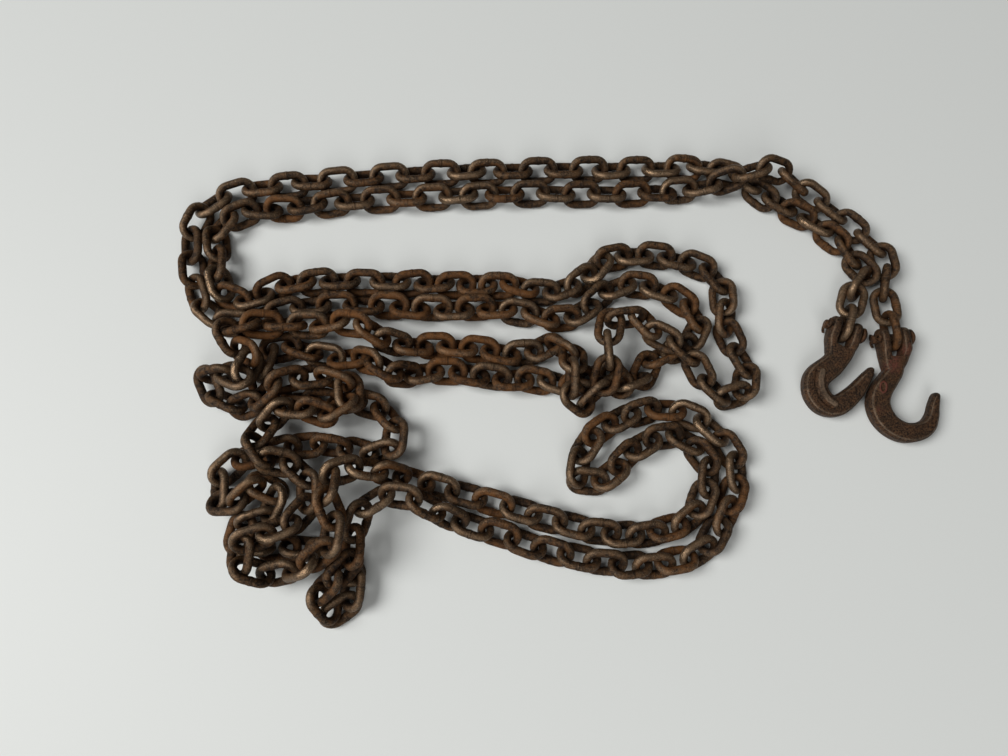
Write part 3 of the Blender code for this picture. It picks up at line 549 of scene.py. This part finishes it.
linkLook = {
    "around": 18, "crownSteps": 12, "plainLeg": (-4.4, -2.2, 0.0, 2.2, 4.4),
    "weldLeg": (-4.8, -3.4, -2.3, -1.4, -0.7, 0.0, 0.7, 1.4, 2.3, 3.4, 4.8),
    "noWeld": 99.0, "weldSwell": 0.34, "weldWidth": 1.7, "weldEdge": 1.2, "weldEdgeWidth": 0.7,
    "crownWear": 0.3, "unevenness": 0.14, "seed": 500,
    "rust": 0.3, "rustSpread": 0.22,  # of a whole link, and how much links differ
    "rustySpots": [  # rustier parts of the heap: x, y, radius and amount
        (-150, 30, 150, 0.5), (30, -110, 110, 0.15), (140, 110, 60, 0.3), (-340, 90, 40, 0.2),
    ],
    # wear values: a base, real wear on the outsides, painted light on upward faces, painted shade with more
    # rust on the insides, and spread between links
    "wearAndPaintedLight": 0.30, "wearOutside": 0.45, "paintedLightOnTop": 0.35, "insideShadeAndRust": 0.5, "wearSpread": 0.1,
}


def linkStations():  # x, y, outward direction, share of crown and way from the weld, round the link
    straight = crownReach - legReach
    stations = []
    for end in (1, -1):
        for step in range(linkLook["crownSteps"] + 1):
            angle = -math.pi / 2 + math.pi * step / linkLook["crownSteps"]
            across = (end * math.cos(angle), end * math.sin(angle))
            stations.append((end * straight + legReach * across[0], legReach * across[1], *across,
                             math.cos(angle), linkLook["noWeld"]))
        leg = linkLook["weldLeg"] if end == 1 else linkLook["plainLeg"]
        for x in reversed(leg):
            fromWeld = abs(x) if end == 1 else linkLook["noWeld"]
            stations.append((end * x, end * legReach, 0.0, float(end), 0.0, fromWeld))
    return np.array(stations)


def runMesh(name, first, last, finish):
    stations = linkStations()
    count, around = len(stations), linkLook["around"]
    turn = 2 * math.pi * np.arange(around) / around
    corners, faces, marks = [], [], {"rust": [], "wearAndPaintedLight": [], "weld": []}
    for i in range(first, last):
        middle, along, width, normal = (column[i] for column in chain)
        vary = np.random.default_rng(linkLook["seed"] + i)
        flip = 1 if vary.random() < 0.5 else -1  # the weld is on either leg
        x, y, outX, outY, crown, fromWeld = stations.T
        y, outY = y * flip, outY * flip
        size = wireRadius + linkLook["weldSwell"] * np.exp(-(fromWeld / linkLook["weldWidth"]) ** 2)
        wave = vary.normal(size=3) * linkLook["unevenness"]
        ring = np.linspace(0, 2 * math.pi, count, endpoint=False)
        size = size + wave[0] * np.sin(ring + wave[1] * 9) * 0.6 + wave[2] * np.sin(2 * ring) * 0.5
        inward = -np.minimum(np.cos(turn), 0)[None, :]
        size = size[:, None] - linkLook["crownWear"] * crown[:, None] * inward
        reach = size * np.cos(turn)[None, :]
        lift = size * np.sin(turn)[None, :]
        spot = (middle + (x[:, None] + outX[:, None] * reach)[..., None] * along
                + (y[:, None] + outY[:, None] * reach)[..., None] * width + lift[..., None] * normal)
        facing = (outX[:, None] * np.cos(turn) * along[2] + outY[:, None] * np.cos(turn) * width[2]
                  + np.sin(turn) * normal[2])
        start = len(corners) * count * around
        corners.append(spot.reshape(-1, 3))
        near = [amount * math.exp(-((middle[0] - px) ** 2 + (middle[1] - py) ** 2) / radius ** 2)
                for px, py, radius, amount in linkLook["rustySpots"]]
        rust = np.clip(linkLook["rust"] + linkLook["rustSpread"] * vary.normal() + sum(near), 0, 1)
        marks["rust"].append(np.full(count * around, rust))
        outside = np.maximum(np.cos(turn), 0)[None, :]
        wearAndPaintedLight = linkLook["wearAndPaintedLight"] + linkLook["wearOutside"] * outside * (0.5 + 0.5 * crown[:, None])
        # painted light: faces turned up are made lighter and glossier
        wearAndPaintedLight = wearAndPaintedLight + linkLook["paintedLightOnTop"] * np.maximum(facing, 0)
        # insides lowered: painted shade in the hollows, together with more rust
        wearAndPaintedLight = wearAndPaintedLight - linkLook["insideShadeAndRust"] * inward * (0.4 + 0.6 * crown[:, None])
        marks["wearAndPaintedLight"].append((wearAndPaintedLight + linkLook["wearSpread"] * vary.normal()).reshape(-1))
        seam = np.exp(-((fromWeld - linkLook["weldEdge"]) / linkLook["weldEdgeWidth"]) ** 2)
        marks["weld"].append(np.repeat(seam, around))
        for s in range(count):
            for k in range(around):
                after, beside = (s + 1) % count, (k + 1) % around
                face = (start + s * around + k, start + after * around + k,
                        start + after * around + beside, start + s * around + beside)
                faces.append(face if flip == 1 else face[::-1])
    mesh = bpy.data.meshes.new(name)
    mesh.from_pydata((np.vstack(corners) * mm + np.array(laidAt)).tolist(), [], faces)
    mesh.shade_smooth()
    for key, values in marks.items():
        mesh.attributes.new(key, "FLOAT", "POINT").data.foreach_set("value", np.concatenate(values))
    mesh.materials.append(finish)
    piece = bpy.data.objects.new(name, mesh)
    bpy.context.scene.collection.objects.link(piece)
    return piece


steel = chainFinish()
linkFaces = 0
for number, (start, stop) in enumerate(zip(starts, starts[1:] + [len(rolls)]), 1):
    piece = runMesh(f"links_{number:02d}", start, stop, steel)
    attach(piece, "chain")
    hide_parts(f"chain_run_{number:02d}")
    linkFaces += len(piece.data.polygons)
print("links:", linkFaces, "faces")


hookSteel = {
    "dark": (0.009, 0.0048, 0.0028), "brown": (0.100, 0.057, 0.031), "rust": (0.135, 0.058, 0.023),
    # worn is the colour of rubbed steel, also laid along the bevel edges as a painted highlight
    "wornAndLit": (0.235, 0.172, 0.120), "paint": (0.120, 0.033, 0.022),
    "grain": 1300.0, "pits": 500.0, "patch": 110.0, "flake": 420.0,  # noise scales, per metre
    "brownRange": (0.49, 0.77), "rustRange": (0.58, 0.80), "wornAndLitRange": (0.75, 1.35),
    "paintRange": (0.68, 1.04), "rustShare": 0.45, "pinRustShare": 0.75, "wornAndLitShare": 0.7, "paintShare": 0.8,
    "roughness": 0.46, "metal": 0.42, "specular": 0.25, "bumpDepth": 0.0011, "bumpStrength": 0.9,
}


def hookFinish(name, pinOnly=False):  # the pins have no worn edges, no painted edge highlight and no paint
    finish = Finish(name)
    place = finish.place()
    grain = finish.noise(place, hookSteel["grain"], 4.0, 0.65)
    pits = finish.noise(place, hookSteel["pits"], 5.0, 0.7)
    patch = finish.noise(place, hookSteel["patch"], 3.0, 0.6)
    brown = finish.between(pits * 0.8 + grain * 0.4, *hookSteel["brownRange"])
    colour = finish.mixed(brown, hookSteel["dark"], hookSteel["brown"])
    rusty = finish.between(patch * 0.5 + pits * 0.4 + grain * 0.4, *hookSteel["rustRange"])
    rustShare = hookSteel["pinRustShare"] if pinOnly else hookSteel["rustShare"]
    colour = finish.mixed(rusty * rustShare, colour, hookSteel["rust"])
    rough = hookSteel["roughness"] + grain * 0.2
    metal = hookSteel["metal"]
    if not pinOnly:
        wearAndPaintedLight = finish.attribute("wearAndPaintedLight")
        paint = finish.attribute("paint")
        # worn edges and bosses, and a painted highlight along the bevel edges
        rubbedAndLit = finish.between(wearAndPaintedLight * (patch + 0.4) + grain * 0.7, *hookSteel["wornAndLitRange"])
        colour = finish.mixed(rubbedAndLit * hookSteel["wornAndLitShare"], colour, hookSteel["wornAndLit"])
        flake = finish.noise(place, hookSteel["flake"], 5.0, 0.75)
        red = finish.between(paint * 0.5 + flake * 0.9 - rubbedAndLit * 0.2, *hookSteel["paintRange"])
        colour = finish.mixed(red * hookSteel["paintShare"], colour, hookSteel["paint"])
        rough = rough - rubbedAndLit * 0.22
        metal = metal + rubbedAndLit * 0.45 - red * 0.3
    finish.set(Base_Color=colour, Roughness=rough, Metallic=metal, Specular_IOR_Level=hookSteel["specular"],
               Normal=finish.bump(grain * 0.5 + pits, hookSteel["bumpDepth"], hookSteel["bumpStrength"]))
    return finish.material


slipHook = {
    "name": "slip_hook", "place": fork["slipPlace"], "turn": fork["slipTurn"], "pinSide": -1, "neck": -4.8,
    "bar": [  # x, y and width of the bar, in millimetres from the pin
        (0.5, -19, 22), (3, -32, 17), (-2, -43, 18), (-8, -55, 20), (-10, -67, 21),
        (-5, -79, 21.5), (5, -87.5, 20.5), (18, -91, 19), (30.5, -88, 17.5), (39.5, -81, 15),
        (43.5, -70.5, 12), (44.5, -60, 10), (46, -50, 6.5),
    ],
    "thickness": 16.0, "tipThickness": 12.5, "chamfer": 4.0,
    "bosses": [  # raised lines: points, half width, height and paint
        ([(-9.6, -46.6), (-6.9, -49.2), (-6.9, -55.2), (-9.6, -57.8), (-12.3, -55.2), (-12.3, -49.2),
          (-9.6, -46.6)], 0.9, 1.1, 1.3),
    ],
    "grooves": [],
    "paint": [  # spots of old paint: x, y, radius and amount
        (-1, -30, 12, 0.9), (1, -20, 10, 0.8), (-9, -52, 14, 0.45), (-11, -75, 8, 0.7), (12, -12, 10, 0.9),
    ],
}
grabHook = {
    "name": "grab_hook", "place": fork["grabPlace"], "turn": fork["grabTurn"], "pinSide": -1, "neck": -0.4,
    "bar": [
        (0, -19, 22), (-3, -27, 21), (-10.5, -38, 22.5), (-21.5, -50, 24), (-24.5, -60, 24),
        (-21, -70, 24), (-13, -76.5, 23), (-3, -77, 20.5), (5, -71.5, 19.5), (13.5, -62, 17),
        (20, -51.5, 13.5), (25.5, -41.5, 9.5), (28, -36, 6),
    ],
    "thickness": 16.0, "tipThickness": 12.5, "chamfer": 4.0,
    "bosses": [
        ([(-21.0, -46.5), (-21.5, -56.0), (-18.5, -66.0), (-12.5, -73.0), (-6.0, -76.5)], 2.9, 1.5, 0.0),
    ],
    "grooves": [
        ([(-25.5, -46.5), (-26.3, -57.0), (-23.3, -67.5), (-16.5, -76.0), (-8.5, -80.0)], 1.2, 1.0, 0.0),
    ],
    "paint": [],
}
forging = {  # what both hooks share
    "slot": 9.8, "earWidth": 11.0, "earHeight": 20.5, "earDepth": 22.0,
    "armSides": 24, "armSquareness": 2.6, "neckFrom": 13.0, "neckLength": 18.0,
    "bevelWidth": 3.4, "bevelDepth": 3.8, "taperFrom": 0.6, "barSteps": 6, "armSteps": 3,
    "voxel": 0.0007, "smoothing": 3, "reliefEdge": 0.8,  # voxel in metres
    "waveSeed": 71, "waveTurns": 0.22, "waveHeight": 0.06,
    # the edge share is real edge wear and a painted highlight along the bevels
    "wearAndPaintedLight": 0.25, "edgeWearAndHighlight": 0.6, "reliefWear": 0.45,
}
clevisPin = {
    "headDiameter": 16.0, "headLength": 4.5, "headGap": 0.35, "tail": 5.0, "taper": 0.72, "sides": 28,
}
splitPin = {
    "wire": 3.0, "flatness": 0.62, "sides": 12, "steps": 5,
    "eye": [(0.6, 3.0), (2.6, 6.6), (3.3, 9.2), (1.6, 11.6), (0.0, 12.2)],  # one half of it
    "legs": [
        [(0, 0.65, 3.4), (0, 0.65, -5.0), (-0.6, 1.5, -7.2), (-1.6, 4.2, -8.6), (-2.0, 7.0, -8.2)],
        [(0, -0.65, 3.4), (0, -0.65, -5.0), (-0.4, -1.8, -7.4), (-1.2, -4.4, -8.4), (-1.4, -6.4, -7.4)],
    ],
}


def ovalSection(half, top):
    around, power = forging["armSides"], 2 / forging["armSquareness"]
    turns = [2 * math.pi * (k + 0.5) / around for k in range(around)]
    return [(math.copysign(abs(math.cos(a)) ** power, math.cos(a)) * half,
             math.copysign(abs(math.sin(a)) ** power, math.sin(a)) * top) for a in turns]


def bevelSection(half, top):  # flat top and underside, with a broad bevel along each edge
    inward, down = min(forging["bevelWidth"], half * 0.55), min(forging["bevelDepth"], top * 0.6)
    corner = [(half, top - down), (half - inward * 0.4, top - down * 0.35), (half - inward, top)]
    corner += [(-u, v) for u, v in reversed(corner)]
    return corner + [(-u, -v) for u, v in corner]


def skin(solid, rows):  # faces from each ring of corners to the next, and one over each end
    around = len(rows[0])
    for low, high in zip(rows, rows[1:]):
        for k in range(around):
            j = (k + 1) % around
            solid.faces.new((low[k], low[j], high[j], high[k]))
    solid.faces.new(rows[0][::-1])
    solid.faces.new(rows[-1])


def sweptBar(solid, path, section):  # bar through (point, side, half width, half height)
    rows = []
    for centre, side, half, top in path:
        corners = [centre + side * u + Vector((0, 0, v)) for u, v in section(half, top)]
        rows.append([solid.verts.new(corner * mm) for corner in corners])
    skin(solid, rows)


def smoothLine(points, steps):
    plan = np.array(points, float)
    plan = np.vstack([2 * plan[0] - plan[1], plan, 2 * plan[-1] - plan[-2]])
    out = []
    for i in range(1, len(plan) - 2):
        a, b, c, d = plan[i - 1:i + 3]
        for t in np.arange(steps) / steps:
            out.append(0.5 * (2 * b + (c - a) * t + (2 * a - 5 * b + 4 * c - d) * t**2
                              + (3 * b - a - 3 * c + d) * t**3))
    out.append(plan[-2])
    return np.array(out)


def newPiece(name, solid, finish=None):
    bmesh.ops.recalc_face_normals(solid, faces=solid.faces)
    mesh = bpy.data.meshes.new(name)
    solid.to_mesh(mesh)
    solid.free()
    piece = bpy.data.objects.new(name, mesh)
    bpy.context.scene.collection.objects.link(piece)
    if finish:
        mesh.materials.append(finish)
    return piece


def awayFrom(line, x, y):  # distance in plan from a line of points
    line = np.array(line, float)
    best = np.full(len(x), 1e9)
    for a, b in zip(line, line[1:]):
        run = b - a
        t = np.clip(((x - a[0]) * run[0] + (y - a[1]) * run[1]) / (run @ run), 0, 1)
        best = np.minimum(best, np.hypot(x - a[0] - run[0] * t, y - a[1] - run[1] * t))
    return best


def planTurn(hook):
    return Matrix.Rotation(math.radians(hook["turn"]), 3, "Z")


def hookPlace(hook):  # the solid's own place: turned in plan, laid on its bowl
    slant = math.radians(hook["turn"])
    bowl = max(x * math.sin(slant) - y * math.cos(slant) + width / 2 - hook["chamfer"]
               for x, y, width in hook["bar"])
    tilt = 0.0
    for _ in range(4):  # settles at once, as the tilt is small
        tilt = math.asin((edgeHeight - hook["thickness"] / 2 * math.cos(tilt)) / bowl)
    axis = Matrix.Rotation(slant, 4, "Z") @ Vector((1, 0, 0))
    at = Vector((hook["place"][0], hook["place"][1], edgeHeight)) * mm + laidAt
    return Matrix.Translation(at) @ Matrix.Rotation(tilt, 4, axis)


def hookBar(solid, hook):
    bar = smoothLine(hook["bar"], forging["barSteps"])
    tangent = np.gradient(bar[:, :2], axis=0)
    tangent /= np.linalg.norm(tangent, axis=1)[:, None]
    thinning = (hook["thickness"] - hook["tipThickness"]) / (1 - forging["taperFrom"])
    path = []
    for i, ((x, y, width), (tx, ty)) in enumerate(zip(bar, tangent)):
        share = i / (len(bar) - 1)
        top = hook["thickness"] - thinning * max(0, share - forging["taperFrom"])
        path.append((Vector((x, y, 0)), Vector((-ty, tx, 0)), width / 2, top / 2))
    centre, side, half, top = path[-1]  # rounded tip
    ahead = Vector((tangent[-1][0], tangent[-1][1], 0))
    path.append((centre + ahead * half * 0.6, side, half * 0.8, top * 0.8))
    path.append((centre + ahead * half * 0.9, side, half * 0.45, top * 0.5))
    sweptBar(solid, path, bevelSection)


def forkArms(solid, hook):
    turn = planTurn(hook)
    half, high, depth = forging["earWidth"] / 2, forging["earHeight"] / 2, forging["earDepth"]
    reach = forging["slot"] / 2 + half
    arm = [  # x, y, half width and half height, from inside the bar to the end of the ear
        (2.5, -depth - 13, 5.0, 7.0), (5.5, -depth - 6, 6.0, 7.6), (reach - 2.2, -depth + 1, half, 8.2),
        (reach, -depth + 8, half, 9.0), (reach, -8.0, half, high - 0.3), (reach, 0.0, half, high),
        (reach, 5.5, half * 0.95, high * 0.85), (reach, 8.6, half * 0.8, high * 0.58),
        (reach, 10.0, half * 0.5, high * 0.3),
    ]
    for sign in (-1, 1):
        path = []
        for x, y, wide, tall in smoothLine(arm, forging["armSteps"]):
            into = min(max((-y - forging["neckFrom"]) / forging["neckLength"], 0), 1)  # towards the bar
            path.append((turn @ Vector((sign * x + hook["neck"] * into, y, 0)), turn @ Vector((1, 0, 0)),
                         wide, tall))
        sweptBar(solid, path, ovalSection)


def makeForging(hook, finish):
    solid = bmesh.new()
    hookBar(solid, hook)
    forkArms(solid, hook)
    piece = newPiece(hook["name"] + "_forging", solid)
    remesh = piece.modifiers.new("remesh", "REMESH")
    remesh.mode = "VOXEL"
    remesh.voxel_size = forging["voxel"]
    soften = piece.modifiers.new("soften", "SMOOTH")
    soften.factor = 0.5
    soften.iterations = forging["smoothing"]
    bpy.context.view_layer.update()
    mesh = bpy.data.meshes.new_from_object(piece.evaluated_get(bpy.context.evaluated_depsgraph_get()))
    piece.modifiers.clear()
    piece.data = mesh
    count = len(mesh.vertices)
    spot, normal = np.zeros(count * 3), np.zeros(count * 3)
    mesh.vertices.foreach_get("co", spot)
    mesh.vertices.foreach_get("normal", normal)
    spot, normal = spot.reshape(-1, 3) / mm, normal.reshape(-1, 3)
    x, y = spot[:, 0], spot[:, 1]
    up = np.clip(normal[:, 2] * 2 - 0.8, 0, 1)
    edge = np.clip(1 - np.abs(np.abs(normal[:, 2]) - 0.8) / 0.25, 0, 1)  # the bevels' edges get real wear and a painted highlight
    wearAndPaintedLight, paint = forging["wearAndPaintedLight"] + forging["edgeWearAndHighlight"] * edge, np.zeros(count)
    for px, py, radius, amount in hook["paint"]:
        paint = np.maximum(paint, amount * np.exp(-((x - px) ** 2 + (y - py) ** 2) / radius ** 2))
    for lines, sign in ((hook["bosses"], 1), (hook["grooves"], -1)):
        for line, halfWidth, height, amount in lines:
            inside = halfWidth - awayFrom(smoothLine(line, forging["barSteps"]), x, y)
            rise = np.clip(inside / forging["reliefEdge"] + 0.5, 0, 1)
            rise = up * rise * rise * (3 - 2 * rise)
            spot[:, 2] += sign * height * rise
            wearAndPaintedLight += forging["reliefWear"] * rise * sign * max(1 - amount, 0)
            paint = np.maximum(paint, amount * rise)
    waves = np.random.default_rng(forging["waveSeed"]).normal(size=(6, 3)) * forging["waveTurns"]
    shift = sum(np.sin(spot @ wave + 5 * wave[0]) for wave in waves)  # the forging's slight unevenness
    spot += normal * shift[:, None] * forging["waveHeight"]
    mesh.vertices.foreach_set("co", (spot * mm).ravel())
    mesh.attributes.new("wearAndPaintedLight", "FLOAT", "POINT").data.foreach_set("value", wearAndPaintedLight)
    mesh.attributes.new("paint", "FLOAT", "POINT").data.foreach_set("value", paint)
    mesh.shade_smooth()
    mesh.materials.clear()
    mesh.materials.append(finish)
    piece.matrix_world = hookPlace(hook)
    return piece


def turnedPin(hook, finish):  # shank with a domed head, tapered at its tail
    solid = bmesh.new()
    face = forging["slot"] / 2 + forging["earWidth"]  # the ear's outer side
    radius, head, taper = fork["pinDiameter"] / 2, clevisPin["headDiameter"] / 2, clevisPin["taper"]
    tail, under, top = face + clevisPin["tail"], face + clevisPin["headGap"], face + clevisPin["headLength"]
    profile = [  # way along the pin, and radius
        (-tail, 0.01), (-tail, radius * taper), (-tail + 1.1, radius), (under, radius), (under, head - 0.5),
        (face + 0.9, head), (face + clevisPin["headLength"] * 0.55, head), (top, head * taper),
        (top + 0.3, 0.01),
    ]
    turn = planTurn(hook)
    turns = [2 * math.pi * k / clevisPin["sides"] for k in range(clevisPin["sides"])]
    rows = []
    for at, size in profile:
        ring = [Vector((-hook["pinSide"] * at, size * math.cos(a), size * math.sin(a))) for a in turns]
        rows.append([solid.verts.new(turn @ corner * mm) for corner in ring])
    skin(solid, rows)
    piece = newPiece(hook["name"] + "_clevis_pin", solid, finish)
    piece.data.shade_smooth()
    piece.data.set_sharp_from_angle(angle=math.radians(40))
    piece.matrix_world = hookPlace(hook)
    return piece


def cotterPiece(hook, finish):  # eye above the pin, two legs bent apart below it
    wire = splitPin["wire"] / 2
    at = Vector((forging["slot"] / 2 + forging["earWidth"] + clevisPin["tail"] / 2, 0, 0))
    turn = planTurn(hook)
    turns = [2 * math.pi * k / splitPin["sides"] for k in range(splitPin["sides"])]
    eye = [(0, y, z) for y, z in splitPin["eye"]] + [(0, -y, z) for y, z in splitPin["eye"][-2::-1]]
    solid = bmesh.new()
    for path in (eye, *splitPin["legs"]):
        line = smoothLine(path, splitPin["steps"])
        rows = []
        for i, spot in enumerate(line):
            ahead = Vector(line[min(i + 1, len(line) - 1)] - line[max(i - 1, 0)]).normalized()
            side = ahead.cross(Vector((1, 0, 0))).normalized()
            other = ahead.cross(side)
            ring = []
            for a in turns:
                corner = (side * math.cos(a) * splitPin["flatness"] + other * math.sin(a)) * wire
                corner += Vector(spot) + at
                corner.x *= hook["pinSide"]
                ring.append(solid.verts.new(turn @ corner * mm))
            rows.append(ring)
        skin(solid, rows)
    piece = newPiece(hook["name"] + "_split_pin", solid, finish)
    piece.data.shade_smooth()
    piece.matrix_world = hookPlace(hook)
    return piece


forgedFinish = hookFinish("rustyHookSteel")
pinFinish = hookFinish("rustyPinSteel", True)
for hook in (slipHook, grabHook):
    pieces = [
        (makeForging(hook, forgedFinish), hook["name"], "hook_steel"),
        (turnedPin(hook, pinFinish), hook["name"] + "_pin", "pin_steel"),
        (cotterPiece(hook, pinFinish), hook["name"] + "_cotter", "pin_steel"),
    ]
    for piece, node, slotName in pieces:
        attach(piece, hook["name"])
        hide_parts(node)
        print(piece.name + ":", len(piece.data.polygons), "faces")


studio = {
    "floorColour": (0.675, 0.698, 0.690), "floorRoughness": 0.55, "floorSize": 6.0,
    "skyColour": (1.0, 0.99, 0.97), "skyStrength": 0.09,
    "window": {"place": (-5.6, -1.1, 6.4), "size": 4.4, "power": 690.0, "colour": (1.0, 0.99, 0.97)},
    "fill": {"place": (0.4, -2.6, 2.3), "size": 2.2, "power": 40.0, "colour": (1.0, 0.99, 0.97)},
}


def makeStudio():
    solid = bmesh.new()
    bmesh.ops.create_grid(solid, x_segments=2, y_segments=2, size=studio["floorSize"] / 2)
    finish = Finish("paleFloor")
    finish.set(Base_Color=(*studio["floorColour"], 1.0), Roughness=studio["floorRoughness"])
    floor = newPiece("floor", solid, finish.material)
    for name in ("window", "fill"):
        lamp = studio[name]
        data = bpy.data.lights.new(name, "AREA")
        data.shape = "SQUARE"
        data.size = lamp["size"]
        data.energy = lamp["power"]
        data.color = lamp["colour"]
        light = bpy.data.objects.new(name, data)
        light.location = lamp["place"]
        light.rotation_euler = (-Vector(lamp["place"])).to_track_quat("-Z", "Y").to_euler()
        bpy.context.scene.collection.objects.link(light)
    world = bpy.data.worlds.new("studio")
    bpy.context.scene.world = world
    world.use_nodes = True
    sky = world.node_tree.nodes["Background"]
    sky.inputs["Color"].default_value = (*studio["skyColour"], 1.0)
    sky.inputs["Strength"].default_value = studio["skyStrength"]
    bpy.context.scene.view_settings.view_transform = "Standard"


makeStudio()
print("studio ready")
